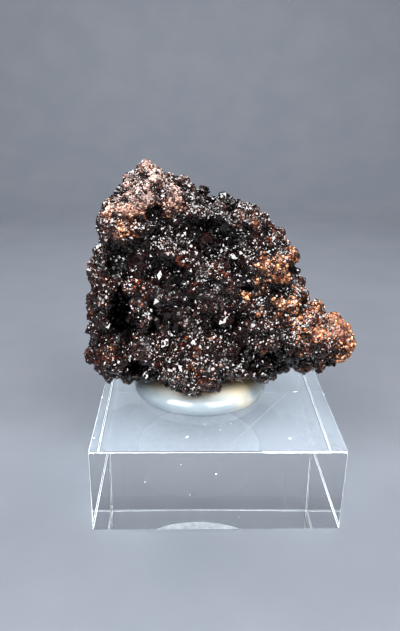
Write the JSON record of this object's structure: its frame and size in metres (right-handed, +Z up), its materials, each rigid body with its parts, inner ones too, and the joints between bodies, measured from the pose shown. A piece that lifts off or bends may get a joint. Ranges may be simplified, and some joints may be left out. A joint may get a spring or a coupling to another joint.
{
  "type": "spessartine garnet specimen on a stand",
  "caption": "Dark red-brown cluster of intergrown garnet crystals, resting on a milky glass dish on a clear square block, for display.",
  "frame": {"origin": "centre of the clear block's flat underside", "axes": "+Z up, +X to the viewer's right and towards the stone's long lobe, -Y towards the viewer of the shown side"},
  "size_m": [0.093, 0.08, 0.111],
  "materials": {
    "garnet": "glossy crystal faces, orange-brown where weathered",
    "opal_glass": "polished, milky and opalescent",
    "clear_acrylic": "polished, clear"
  },
  "bodies": {
    "root": {"garnet_specimen": "garnet", "opal_dish": "opal_glass", "clear_block": "clear_acrylic"}
  },
  "joints": []
}
